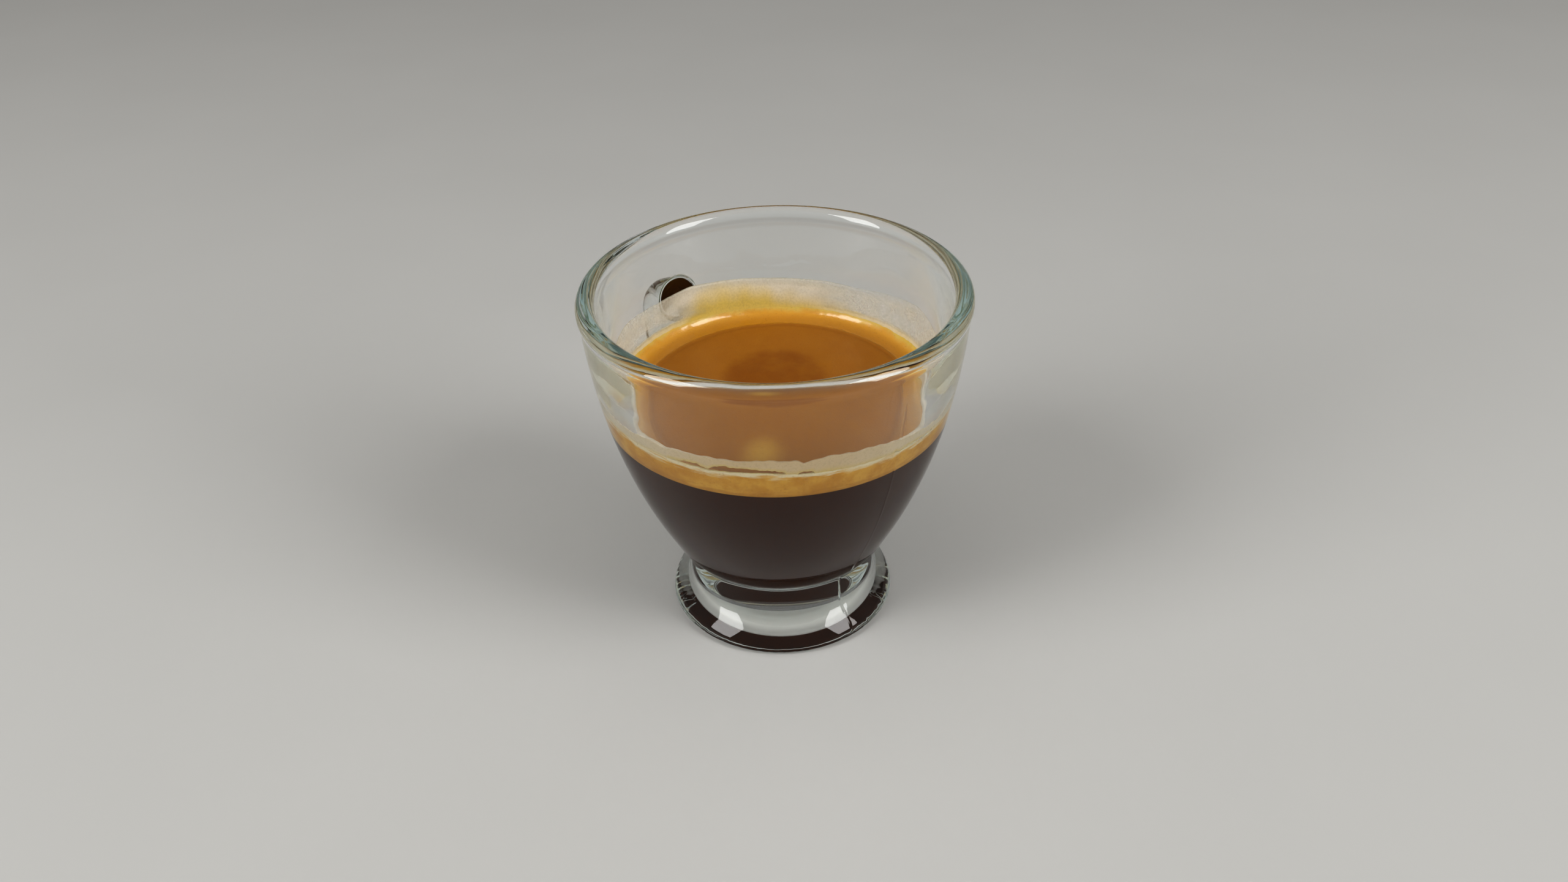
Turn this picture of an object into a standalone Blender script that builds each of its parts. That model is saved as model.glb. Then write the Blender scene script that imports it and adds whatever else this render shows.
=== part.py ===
"""A double espresso in a small pressed-glass cup with a foot and one ear handle.

Three solids: the glass, the coffee, and the crema that floats on it.
Lengths are written in millimetres and turned into metres as each mesh is made.
The handle points along +X. The origin is on the table, midway between the rim's far side
and the handle's outermost point, so the cup's axis stands a little way along -X.
"""

import math

import bmesh
import bpy
from mathutils import Vector

MM = 0.001
SIDES = 48
ON_AXIS = 0.01
SHARP_ANGLE = 35.0

# How finely the outlines are cut
BOWL_STEPS = 12
HOLLOW_STEPS = 12
HOLLOW_CORNER_STEPS = 2
HOLLOW_FLOOR_STEPS = 5
FINE_STEPS = 200
LIP_STEPS = 8
CLIMB_STEPS = 5
HANDLE_STEPS_ABOVE = 11
HANDLE_STEPS_BELOW = 13

# Rim
HEIGHT = 63.5
RIM_RADIUS = 32.5
LIP_RADIUS = 1.4
LIP_LEAN = 8.0
LIP_INNER_LEAN = 11.0
LIP_EDGE_INSET = 0.15

# Bowl, outside and inside
BOWL_CORNER = (21.8, 19.4)
BOWL_CORNER_LEAN = 26.3
BOWL_REACH = 22.0
BOWL_LIP_REACH = 4.0
HOLLOW_TURN = (17.4, 19.6)
HOLLOW_TURN_LEAN = 38.0
HOLLOW_REACH_TOP = 15.0
HOLLOW_REACH_LOW = 13.0
HOLLOW_TURN_REACH = 2.0
HOLLOW_CORNER = (13.2, 14.2)
HOLLOW_CORNER_LEAN = 42.0
HOLLOW_CORNER_REACH = 1.8
HOLLOW_FLOOR = 12.5
HOLLOW_FLOOR_REACH = 8.0

# Neck and foot, as pairs of radius and height
NECK = ((16.8, 10.3), (16.85, 12.1), (17.6, 13.4), (19.1, 14.5), (19.9, 15.5))
FLARE = ((19.1, 3.4), (18.4, 4.08), (17.7, 4.85), (17.2, 5.6), (16.95, 6.4), (16.8, 7.4))
BRIM = ((19.55, 2.9), (19.97, 2.35), (20.3, 1.75), (20.5, 1.2))
FOOT_EDGE = (20.6, 0.85)
FOOT_UNDER_EDGE = ((20.25, 0.4), (19.5, 0.12))
BEARING_RADIUS = 18.6

# Hollow under the foot, a dome that opens on the table
PUNT_RADIUS = 15.5
PUNT_RISE = 6.6
PUNT_POWER = 2.4
PUNT_STEPS = 6

# Handle, in the plane of its loop: distance from the cup's axis, and height
HANDLE_TOP_ROOT = (29.6, 49.0)
HANDLE_TOP_DROP = 12.0
HANDLE_TOP_PULL = 5.8
HANDLE_REACH = (39.8, 38.8)
HANDLE_BEND_ABOVE = 5.2
HANDLE_BEND_BELOW = 6.6
HANDLE_LOW_ROOT = (23.6, 27.4)
HANDLE_LOW_RISE = 6.0
HANDLE_LOW_PULL = 9.6
HANDLE_HALF_WIDTH = 4.0
HANDLE_HALF_DEPTH = 3.5
HANDLE_SIDES = 14
ROOT_FLARE = 1.4
ROOT_FLARE_LENGTH = 3.4

# Contents
COFFEE_SIDE_END = 1.0
GAP = 0.3
LEVEL_GAP = 0.33
CREMA_BASE = 41.3
CREMA_SURFACE = 43.0
CREMA_FLAT_RADIUS = 23.2
CREMA_EDGE_HEIGHT = 46.9
CREMA_CLIMB_START = (2.0, 0.2)
CREMA_CLIMB_END = (0.3, 1.95)
CREMA_LIP_WIDTH = 0.5

# The cup's axis, left of the origin by half of what the handle adds
AXIS_X = -(HANDLE_REACH[0] + HANDLE_HALF_DEPTH - RIM_RADIUS) / 2


def heading(lean):
    """Unit step that leans outward from straight up by lean degrees."""
    angle = math.radians(lean)
    return math.sin(angle), math.cos(angle)


def bezier(start, start_step, end, end_step, count):
    """Cubic curve from start to end; each step runs along the curve. The start is left out."""
    points = []
    for index in range(1, count + 1):
        t = index / count
        weights = ((1 - t) ** 3, 3 * (1 - t) ** 2 * t, 3 * (1 - t) * t ** 2, t ** 3)
        corners = (
            start,
            (start[0] + start_step[0], start[1] + start_step[1]),
            (end[0] - end_step[0], end[1] - end_step[1]),
            end,
        )
        points.append(tuple(sum(w * c[axis] for w, c in zip(weights, corners)) for axis in (0, 1)))
    return points


def scaled(step, reach):
    """A unit step made reach long."""
    return step[0] * reach, step[1] * reach


def arc(centre, radius, first, last, count):
    """Points on a round stretch, from the first angle to the last, in degrees from outward."""
    points = []
    for index in range(count + 1):
        angle = math.radians(first + (last - first) * index / count)
        points.append((centre[0] + radius * math.cos(angle), centre[1] + radius * math.sin(angle)))
    return points


def foot_outline():
    """Domed hollow, bearing ring, brim, flare and waist of the foot, up to the bowl's underside."""
    points = []
    for index in range(PUNT_STEPS + 1):
        share = math.sin(math.pi / 2 * index / PUNT_STEPS)
        points.append((PUNT_RADIUS * share, PUNT_RISE * (1 - share ** PUNT_POWER)))
    points += [(BEARING_RADIUS, 0.0), *reversed(FOOT_UNDER_EDGE), FOOT_EDGE]
    points += [*reversed(BRIM), *FLARE, *NECK]
    return points


def bowl_outline():
    """Outside of the bowl, from its lower corner to the lip."""
    lip_side = (RIM_RADIUS - LIP_EDGE_INSET, HEIGHT - LIP_RADIUS)
    corner_step = scaled(heading(BOWL_CORNER_LEAN), BOWL_REACH)
    lip_step = scaled(heading(LIP_LEAN), BOWL_LIP_REACH)
    return [BOWL_CORNER] + bezier(BOWL_CORNER, corner_step, lip_side, lip_step, BOWL_STEPS)[:-1]


def lip_outline():
    """Rounded lip, from outside to inside."""
    centre = (RIM_RADIUS - LIP_RADIUS, HEIGHT - LIP_RADIUS)
    return arc(centre, LIP_RADIUS, 0.0, 180.0, LIP_STEPS)


def hollow_outline(count=HOLLOW_STEPS):
    """Inside of the bowl, from the lip down to the middle of its floor."""
    lip = (RIM_RADIUS - 2 * LIP_RADIUS, HEIGHT - LIP_RADIUS)
    lip_step = scaled(heading(LIP_INNER_LEAN), -HOLLOW_REACH_TOP)
    turn_step = scaled(heading(HOLLOW_TURN_LEAN), -HOLLOW_REACH_LOW)
    side = bezier(lip, lip_step, HOLLOW_TURN, turn_step, count)
    from_turn = scaled(heading(HOLLOW_TURN_LEAN), -HOLLOW_TURN_REACH)
    to_corner = scaled(heading(HOLLOW_CORNER_LEAN), -HOLLOW_TURN_REACH)
    side += bezier(HOLLOW_TURN, from_turn, HOLLOW_CORNER, to_corner, HOLLOW_CORNER_STEPS)
    corner_step = scaled(heading(HOLLOW_CORNER_LEAN), -HOLLOW_CORNER_REACH)
    floor_step = (-HOLLOW_FLOOR_REACH, 0.0)
    return side + bezier(HOLLOW_CORNER, corner_step, (0.0, HOLLOW_FLOOR), floor_step, HOLLOW_FLOOR_STEPS)


def hollow_radius(height):
    """Inner radius of the bowl at a height, read from a finely cut outline."""
    outline = hollow_outline(count=FINE_STEPS)
    for upper, lower in zip(outline, outline[1:]):
        if lower[1] <= height <= upper[1]:
            share = (height - lower[1]) / (upper[1] - lower[1])
            return lower[0] + share * (upper[0] - lower[0])
    return 0.0


def turned(name, outline):
    """Closed solid turned about Z from an outline that starts and ends on the axis."""
    mesh = bpy.data.meshes.new(name)
    shape = bmesh.new()
    rings = []
    for radius, height in outline:
        if radius < ON_AXIS:
            rings.append([shape.verts.new((0.0, 0.0, height * MM))])
            continue
        ring = []
        for side in range(SIDES):
            angle = 2 * math.pi * side / SIDES
            place = (radius * MM * math.cos(angle), radius * MM * math.sin(angle), height * MM)
            ring.append(shape.verts.new(place))
        rings.append(ring)
    for lower, upper in zip(rings, rings[1:]):
        for side in range(SIDES):
            after = (side + 1) % SIDES
            if len(lower) == 1:
                shape.faces.new((lower[0], upper[after], upper[side]))
            elif len(upper) == 1:
                shape.faces.new((lower[side], lower[after], upper[0]))
            else:
                shape.faces.new((lower[side], lower[after], upper[after], upper[side]))
    bmesh.ops.recalc_face_normals(shape, faces=shape.faces)
    shape.to_mesh(mesh)
    shape.free()
    return add_object(name, mesh)


def add_object(name, mesh):
    """Object of a mesh drawn round the cup's axis, in its place in the scene."""
    item = bpy.data.objects.new(name, mesh)
    item.location = (AXIS_X * MM, 0.0, 0.0)
    bpy.context.scene.collection.objects.link(item)
    return item


def handle_path():
    """Centre line of the handle, from inside the wall at the top to inside it below."""
    drop = math.radians(HANDLE_TOP_DROP)
    rise = math.radians(HANDLE_LOW_RISE)
    out_step = scaled((math.cos(drop), -math.sin(drop)), HANDLE_TOP_PULL)
    in_step = scaled((-math.cos(rise), math.sin(rise)), HANDLE_LOW_PULL)
    path = [HANDLE_TOP_ROOT]
    bend_above = (0.0, -HANDLE_BEND_ABOVE)
    bend_below = (0.0, -HANDLE_BEND_BELOW)
    path += bezier(HANDLE_TOP_ROOT, out_step, HANDLE_REACH, bend_above, HANDLE_STEPS_ABOVE)
    path += bezier(HANDLE_REACH, bend_below, HANDLE_LOW_ROOT, in_step, HANDLE_STEPS_BELOW)
    return path


def flare(travel, length):
    """Widening of the handle's section where it runs into the wall, at either end."""
    nearest = min(travel, length - travel)
    share = max(0.0, 1.0 - nearest / ROOT_FLARE_LENGTH)
    return 1.0 + (ROOT_FLARE - 1.0) * share ** 2


def handle_solid():
    """Closed tube of oval section along the handle's path."""
    path = handle_path()
    travel = [0.0]
    for here, there in zip(path, path[1:]):
        travel.append(travel[-1] + math.dist(here, there))
    shape = bmesh.new()
    rings = []
    for index, (across, height) in enumerate(path):
        before = path[max(index - 1, 0)]
        after = path[min(index + 1, len(path) - 1)]
        along = Vector((after[0] - before[0], 0.0, after[1] - before[1])).normalized()
        outward = Vector((-along.z, 0.0, along.x))
        size = flare(travel[index], travel[-1])
        ring = []
        for side in range(HANDLE_SIDES):
            angle = 2 * math.pi * side / HANDLE_SIDES
            place = Vector((across, 0.0, height))
            place += outward * (HANDLE_HALF_DEPTH * size * math.cos(angle))
            place += Vector((0.0, 1.0, 0.0)) * (HANDLE_HALF_WIDTH * size * math.sin(angle))
            ring.append(shape.verts.new(place * MM))
        rings.append(ring)
    for first, second in zip(rings, rings[1:]):
        for side in range(HANDLE_SIDES):
            after = (side + 1) % HANDLE_SIDES
            shape.faces.new((first[side], first[after], second[after], second[side]))
    shape.faces.new(rings[0])
    shape.faces.new(rings[-1])
    bmesh.ops.recalc_face_normals(shape, faces=shape.faces)
    mesh = bpy.data.meshes.new("handle_tool")
    shape.to_mesh(mesh)
    shape.free()
    return add_object("handle_tool", mesh)


def fuse(item, tool):
    """Join a tool to an object for good, and remove the tool."""
    modifier = item.modifiers.new("join", "BOOLEAN")
    modifier.operation = "UNION"
    modifier.solver = "EXACT"
    modifier.object = tool
    evaluated = item.evaluated_get(bpy.context.evaluated_depsgraph_get())
    joined = bpy.data.meshes.new_from_object(evaluated)
    item.modifiers.clear()
    item.data = joined
    bpy.data.objects.remove(tool, do_unlink=True)


def material(name, colour, roughness, transmission=0.0, ior=1.5):
    """Principled material with one colour."""
    made = bpy.data.materials.new(name)
    made.use_nodes = True
    shader = made.node_tree.nodes["Principled BSDF"]
    shader.inputs["Base Color"].default_value = (*colour, 1.0)
    shader.inputs["Roughness"].default_value = roughness
    shader.inputs["Metallic"].default_value = 0.0
    shader.inputs["Transmission Weight"].default_value = transmission
    shader.inputs["IOR"].default_value = ior
    return made


def finish(item, look):
    """Give an object its material and smooth shading with its real edges kept."""
    item.data.materials.clear()
    item.data.materials.append(look)
    item.data.shade_smooth()
    item.data.set_sharp_from_angle(angle=math.radians(SHARP_ANGLE))


def make_glass():
    """The cup: foot, bowl, lip and handle in one piece."""
    outline = foot_outline() + bowl_outline() + lip_outline() + hollow_outline()
    glass = turned("glass", outline)
    fuse(glass, handle_solid())
    finish(glass, material("clear_glass", (0.93, 0.96, 0.95), 0.02, transmission=1.0, ior=1.5))


def inset(outline, distance):
    """The hollow's outline, drawn from the lip down, moved off the glass by a distance."""
    points = []
    for index, (across, height) in enumerate(outline):
        before = outline[max(index - 1, 0)]
        after = outline[min(index + 1, len(outline) - 1)]
        length = math.dist(before, after)
        level = (after[1] - before[1]) / length
        up = (before[0] - after[0]) / length
        points.append((across + level * distance, height + up * distance))
    return points


def make_coffee():
    """The black coffee, from the hollow's floor up to the underside of the crema."""
    top = CREMA_BASE - GAP / 2
    side = [point for point in inset(hollow_outline(), GAP) if point[1] < top - COFFEE_SIDE_END]
    outline = [(0.0, HOLLOW_FLOOR + GAP)] + list(reversed(side[:-1]))
    outline += [(hollow_radius(top) - LEVEL_GAP, top), (0.0, top)]
    coffee = turned("coffee", outline)
    finish(coffee, material("black_coffee", (0.022, 0.010, 0.006), 0.08))


def make_crema():
    """The crema: level in the middle, climbing the wall at its edge."""
    base = CREMA_BASE + GAP / 2
    base_edge = hollow_radius(base) - LEVEL_GAP
    top_edge = hollow_radius(CREMA_EDGE_HEIGHT) - LEVEL_GAP
    outline = [(0.0, base), (base_edge, base), (top_edge, CREMA_EDGE_HEIGHT)]
    climb_start = (CREMA_FLAT_RADIUS, CREMA_SURFACE)
    climb_end = (top_edge - CREMA_LIP_WIDTH, CREMA_EDGE_HEIGHT)
    climb = bezier(climb_start, CREMA_CLIMB_START, climb_end, CREMA_CLIMB_END, CLIMB_STEPS)
    outline += list(reversed(climb))
    outline += [climb_start, (0.0, CREMA_SURFACE)]
    crema = turned("crema", outline)
    finish(crema, material("golden_crema", (0.46, 0.22, 0.045), 0.4))


def main():
    """Clear the scene and build the three solids."""
    for item in list(bpy.data.objects):
        bpy.data.objects.remove(item, do_unlink=True)
    make_glass()
    make_coffee()
    make_crema()


main()
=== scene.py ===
"""Looks of a shot of espresso in its small footed glass: glass, coffee, crema, foam on the wall.

The shapes repeat the solids' driving sizes in millimetres and cut them much finer.
Each piece is drawn round the cup's axis, its foot on z = 0 and its handle along +X, and then
moved to the cup's place in the frame, which is a little way along -X.
Places round the cup are given by their azimuth: degrees from the side that faces the
camera, counted to the right as the camera sees it.
"""

import math

import bmesh
import bpy
import numpy as np
from mathutils import Matrix, Vector, noise


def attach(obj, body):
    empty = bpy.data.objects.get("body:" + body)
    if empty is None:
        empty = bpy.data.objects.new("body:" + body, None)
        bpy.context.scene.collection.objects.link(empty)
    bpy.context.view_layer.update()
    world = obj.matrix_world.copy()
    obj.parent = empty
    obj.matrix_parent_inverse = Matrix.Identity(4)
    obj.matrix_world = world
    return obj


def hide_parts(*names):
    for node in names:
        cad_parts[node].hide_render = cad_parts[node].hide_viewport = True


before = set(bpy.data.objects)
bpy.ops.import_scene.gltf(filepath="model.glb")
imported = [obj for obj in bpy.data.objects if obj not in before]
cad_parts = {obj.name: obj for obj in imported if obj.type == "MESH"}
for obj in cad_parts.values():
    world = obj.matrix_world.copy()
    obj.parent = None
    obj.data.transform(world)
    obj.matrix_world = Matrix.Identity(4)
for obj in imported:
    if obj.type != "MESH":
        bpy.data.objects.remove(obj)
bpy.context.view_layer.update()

MM = 0.001
CUP_PLACE = Vector((-5.4, 0.0, 0.0)) * MM
VIEW_SIDE = 142.8

# Rim
HEIGHT = 63.5
RIM_RADIUS = 32.5
LIP_RADIUS = 1.4
LIP_LEAN = 8.0
LIP_INNER_LEAN = 11.0
LIP_SIDE_INSET = 0.15

# Bead that rounds the lip: its radius, its two angles, and the heights where the wall ends below it
BEAD_RADIUS = 1.6
BEAD_FROM = -12.0
BEAD_TO = 190.0
BEAD_OUTER_END = 60.6
BEAD_INNER_END = 60.8

# Bowl, outside and inside
BOWL_CORNER = (21.8, 19.4)
BOWL_CORNER_LEAN = 26.3
BOWL_REACH = 22.0
BOWL_LIP_REACH = 4.0
HOLLOW_TURN = (17.4, 19.6)
HOLLOW_TURN_LEAN = 38.0
HOLLOW_REACH_TOP = 15.0
HOLLOW_REACH_LOW = 13.0
HOLLOW_TURN_REACH = 2.0
HOLLOW_CORNER = (13.2, 14.2)
HOLLOW_CORNER_LEAN = 42.0
HOLLOW_CORNER_REACH = 1.8
HOLLOW_FLOOR = 12.5
HOLLOW_FLOOR_REACH = 8.0

# Neck, foot and the hollow under it
NECK = ((16.8, 10.3), (16.75, 11.4), (16.9, 12.4), (17.6, 13.4), (19.3, 14.6), (19.9, 15.5),
        (21.0, 17.75))
FLARE = ((19.1, 3.4), (18.4, 4.08), (17.7, 4.85), (17.2, 5.6), (16.95, 6.4), (16.8, 7.4))
BRIM = ((19.55, 2.9), (19.97, 2.35), (20.3, 1.75), (20.5, 1.2))
FOOT_RADIUS = 20.6
FOOT_EDGE_MIDDLE = 0.85
BEARING_RADIUS = 18.6
BEARING_EDGE = ((19.5, 0.12), (20.25, 0.4))
FOOT_ROUNDING = 0.35
PUNT_RADIUS = 15.5
PUNT_EDGE = 0.3
PUNT_RISE = 6.6
PUNT_POWER = 2.4

# Handle
HANDLE_TOP_ROOT = (31.0, 48.7)
HANDLE_TOP_DROP = 12.0
HANDLE_TOP_PULL = 5.2
HANDLE_REACH = (39.8, 38.8)
HANDLE_UPPER_PULL = 5.2
HANDLE_LOWER_PULL = 6.6
HANDLE_LOW_ROOT = (25.3, 27.2)
HANDLE_LOW_RISE = 6.0
HANDLE_LOW_PULL = 8.2
HANDLE_HALF_WIDTH = 4.0
HANDLE_HALF_DEPTH = 3.5

# Contents
CREMA_BASE = 41.3
CREMA_SURFACE = 43.0
CREMA_FLAT_RADIUS = 23.2
WALL_OVERLAP = 0.12

# Numbers of steps along the outlines
DOME_STEPS = 30
CORNER_STEPS = 6
SIDE_STEPS = 60
LIP_STEPS = 30
TURN_STEPS = 10
FLOOR_STEPS = 24
FINE_STEPS = 200

# Within this distance of the axis a ring is one point
ON_AXIS = 0.01
# How a seed moves the place that a ripple is read at
SEED_SHIFT = (1.0, 1.7, 2.3)


def heading(lean):
    """Unit step that leans outward from straight up by lean degrees."""
    angle = math.radians(lean)
    return math.sin(angle), math.cos(angle)


def scaled(step, reach):
    """A unit step made reach long."""
    return step[0] * reach, step[1] * reach


def bezier(start, start_step, end, end_step, count):
    """Cubic curve from start to end; each step runs along the curve. The start is left out."""
    start, start_step = np.array(start), np.array(start_step)
    end, end_step = np.array(end), np.array(end_step)
    t = (np.arange(1, count + 1) / count)[:, None]
    curve = (1 - t) ** 3 * start + 3 * (1 - t) ** 2 * t * (start + start_step)
    curve = curve + 3 * (1 - t) * t ** 2 * (end - end_step) + t ** 3 * end
    return [tuple(point) for point in curve]


def arc(centre, radius, first, last, count):
    """Points on a round stretch, from the first angle to the last, in degrees from outward."""
    angles = np.radians(np.linspace(first, last, count + 1))
    return [(centre[0] + radius * math.cos(a), centre[1] + radius * math.sin(a)) for a in angles]


def eased(points, radius):
    """An outline with each inner corner rounded by a short curve, of at most that radius."""
    result = [points[0]]
    for before, corner, after in zip(points, points[1:], points[2:]):
        before, corner, after = map(np.array, (before, corner, after))
        back, ahead = before - corner, after - corner
        reach = min(radius, np.linalg.norm(back) / 2, np.linalg.norm(ahead) / 2)
        first = corner + back / np.linalg.norm(back) * reach
        last = corner + ahead / np.linalg.norm(ahead) * reach
        for t in np.linspace(0, 1, CORNER_STEPS):
            result.append(tuple((1 - t) ** 2 * first + 2 * t * (1 - t) * corner + t ** 2 * last))
    result.append(points[-1])
    return result


def underside_outline():
    """Domed hollow, bearing ring and lower edge of the foot."""
    points = []
    for radius in np.linspace(0.0, PUNT_RADIUS - PUNT_EDGE, DOME_STEPS):
        points.append((radius, PUNT_RISE * (1 - (radius / PUNT_RADIUS) ** PUNT_POWER)))
    edge = [points.pop(), (PUNT_RADIUS, 0.0), (BEARING_RADIUS, 0.0), *BEARING_EDGE]
    edge.append((FOOT_RADIUS, FOOT_EDGE_MIDDLE))
    return points + eased(edge, FOOT_ROUNDING)


def foot_outline():
    """Brim and flare of the foot, its waist, and the underside of the bowl."""
    points = [(FOOT_RADIUS, FOOT_EDGE_MIDDLE), *reversed(BRIM), *FLARE, *NECK, BOWL_CORNER]
    return eased(points, math.inf)[1:-1]


def bowl_outline():
    """Outside of the bowl, from its lower corner to the bead."""
    lip_side = (RIM_RADIUS - LIP_SIDE_INSET, HEIGHT - LIP_RADIUS)
    corner_step = scaled(heading(BOWL_CORNER_LEAN), BOWL_REACH)
    lip_step = scaled(heading(LIP_LEAN), BOWL_LIP_REACH)
    side = [BOWL_CORNER] + bezier(BOWL_CORNER, corner_step, lip_side, lip_step, SIDE_STEPS)
    return [point for point in side if point[1] < BEAD_OUTER_END]


def lip_outline():
    """The bead that rounds the lip, from outside to inside."""
    centre = (RIM_RADIUS - BEAD_RADIUS, HEIGHT - BEAD_RADIUS)
    return arc(centre, BEAD_RADIUS, BEAD_FROM, BEAD_TO, LIP_STEPS)


def hollow_outline(count=SIDE_STEPS):
    """Inside of the bowl, from the bead down to the middle of its floor."""
    lip = (RIM_RADIUS - 2 * LIP_RADIUS, HEIGHT - LIP_RADIUS)
    lip_step = scaled(heading(LIP_INNER_LEAN), -HOLLOW_REACH_TOP)
    turn_step = scaled(heading(HOLLOW_TURN_LEAN), -HOLLOW_REACH_LOW)
    side = bezier(lip, lip_step, HOLLOW_TURN, turn_step, count)
    side = [point for point in side if point[1] < BEAD_INNER_END]
    from_turn = scaled(heading(HOLLOW_TURN_LEAN), -HOLLOW_TURN_REACH)
    to_corner = scaled(heading(HOLLOW_CORNER_LEAN), -HOLLOW_TURN_REACH)
    side += bezier(HOLLOW_TURN, from_turn, HOLLOW_CORNER, to_corner, TURN_STEPS)
    corner_step = scaled(heading(HOLLOW_CORNER_LEAN), -HOLLOW_CORNER_REACH)
    middle = (0.0, HOLLOW_FLOOR)
    return side + bezier(HOLLOW_CORNER, corner_step, middle, (-HOLLOW_FLOOR_REACH, 0.0), FLOOR_STEPS)


OUTSIDE = np.array(bowl_outline())
INSIDE = np.array(hollow_outline(count=FINE_STEPS))[::-1]


def outer_radius(height):
    """Radius of the bowl's outside at a height."""
    return float(np.interp(height, OUTSIDE[:, 1], OUTSIDE[:, 0]))


def inner_radius(height):
    """Radius of the bowl's hollow at a height."""
    return float(np.interp(height, INSIDE[:, 1], INSIDE[:, 0]))


def smooth_step(low, high, value):
    """0 below low, 1 above high, eased between them."""
    t = np.clip((value - low) / (high - low), 0.0, 1.0)
    return float(t * t * (3 - 2 * t))


def ripple(place, kind):
    """Smooth noise at a place in millimetres; its kind is its height, its bumps' size and its seed."""
    height, size, seed = kind
    return height * noise.noise(Vector(place) / size + Vector([seed * shift for shift in SEED_SHIFT]))


def add_mesh(name, points, faces):
    """Object from points in millimetres."""
    mesh = bpy.data.meshes.new(name)
    mesh.from_pydata([tuple(MM * value for value in point) for point in points], [], faces)
    mesh.update()
    item = bpy.data.objects.new(name, mesh)
    item.location = CUP_PLACE
    bpy.context.scene.collection.objects.link(item)
    return item


def ring_faces(rings):
    """Faces between one ring and the next, where a ring of one point is a pole."""
    faces = []
    for lower, upper in zip(rings, rings[1:]):
        count = max(len(lower), len(upper))
        for side in range(count):
            after = (side + 1) % count
            if len(lower) == 1:
                faces.append((lower[0], upper[after], upper[side]))
            elif len(upper) == 1:
                faces.append((lower[side], lower[after], upper[0]))
            else:
                faces.append((lower[side], lower[after], upper[after], upper[side]))
    return faces


def face_outward(item):
    """Turn every face of a closed piece to the outside."""
    shape = bmesh.new()
    shape.from_mesh(item.data)
    bmesh.ops.recalc_face_normals(shape, faces=shape.faces)
    shape.to_mesh(item.data)
    shape.free()


def smooth(item, angle):
    """Smooth shading, with edges sharper than the angle kept."""
    item.data.shade_smooth()
    item.data.set_sharp_from_angle(angle=math.radians(angle))


# The cup

SIDES_HALF = 150
CUP_CREASE = 30.0

# Mould seams: places across one, how clear of it the next side is, and how it fades out up the bowl
SEAM_STEPS = (-0.7, -0.45, -0.28, -0.14, 0.0, 0.14, 0.28, 0.45, 0.7)
SEAM_CLEAR = 1.0
SEAM_LEAST_RADIUS = 3.0
AWAY_FROM_SEAM = 9.0
SEAM_WIDTH = 0.17
SEAM_HEIGHT = 0.05
FOOT_SEAM_HEIGHT = 0.12
SEAM_MEAN = 0.75
SEAM_UNEVEN = (0.6, 1.4, 3.0)
SEAM_FADES = ((42.0, 46.0, 0.7), (54.0, 58.0, 0.3))

# Ripples are given as their height, the size of their bumps and their seed.
# Waves of pressed glass, and the distance from the axis where those of the hollow end
OUTER_WAVES = (0.03, 11.0, 1.0)
INNER_WAVES = (0.07, 9.0, 2.0)
INNER_SMALL_WAVES = (0.02, 3.5, 4.0)
CALM_RADIUS = 2.0

# Fine radial grooves on the ring that the foot stands on and on its edge, and where they start and end
GROOVES = (0.06, 0.55, 11.0)
GROOVE_STRETCH = 0.2
GROOVES_FROM = 16.0
GROOVES_TOP = 1.3


def ring_angles(radius):
    """Angles round a ring, close together at the two mould seams, with how far each is from one."""
    angles = []
    offsets = []
    reach = max(radius, SEAM_LEAST_RADIUS)
    clear = SEAM_CLEAR / reach
    for seam in (0.0, math.pi):
        for step in SEAM_STEPS:
            angles.append(seam + step / reach)
            offsets.append(step)
        for index in range(1, SIDES_HALF):
            angles.append(seam + clear + (math.pi - 2 * clear) * index / SIDES_HALF)
            offsets.append(AWAY_FROM_SEAM)
    return np.array(angles), np.array(offsets)


def seam_lift(offset, place, on_foot):
    """Height of the mould seam at a distance from its middle."""
    height = FOOT_SEAM_HEIGHT if on_foot else SEAM_HEIGHT
    uneven = SEAM_MEAN + ripple(place, SEAM_UNEVEN)
    fade = 1.0
    for low, high, share in SEAM_FADES:
        fade -= share * smooth_step(low, high, place[2])
    return height * fade * uneven * math.exp(-((offset / SEAM_WIDTH) ** 2))


def foot_groove(angle, radius, height):
    """How far the foot's surface stands back in the fine grooves that run out from its middle."""
    if height > GROOVES_TOP or radius < GROOVES_FROM:
        return 0.0
    place = (FOOT_RADIUS * math.cos(angle), FOOT_RADIUS * math.sin(angle), GROOVE_STRETCH * radius)
    return max(0.0, ripple(place, GROOVES))


def cup_body():
    """Foot, bowl and lip, turned about the axis, with mould seams, waves and the foot's grooves."""
    underside = underside_outline()
    foot = foot_outline()
    bowl = bowl_outline()
    lip = lip_outline()
    outline = underside + foot + bowl + lip + hollow_outline()
    bowl_start = len(underside) + len(foot)
    lip_start = bowl_start + len(bowl)
    hollow_start = lip_start + len(lip)
    points = []
    rings = []
    for index, (radius, height) in enumerate(outline):
        if radius < ON_AXIS:
            rings.append([len(points)])
            points.append((0.0, 0.0, height))
            continue
        angles, offsets = ring_angles(radius)
        ring = []
        for angle, offset in zip(angles, offsets):
            place = (radius * math.cos(angle), radius * math.sin(angle), height)
            groove = foot_groove(angle, radius, height)
            lift = -groove
            if len(underside) < index < lip_start:
                lift += ripple(place, OUTER_WAVES)
                if offset < AWAY_FROM_SEAM:
                    lift += seam_lift(offset, place, index < bowl_start)
            if index >= hollow_start and radius > CALM_RADIUS:
                lift -= ripple(place, INNER_WAVES) + ripple(place, INNER_SMALL_WAVES)
            across = radius + lift
            ring.append(len(points))
            points.append((across * math.cos(angle), across * math.sin(angle), height + groove))
        rings.append(ring)
    return add_mesh("cup", points, ring_faces(rings))


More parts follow.
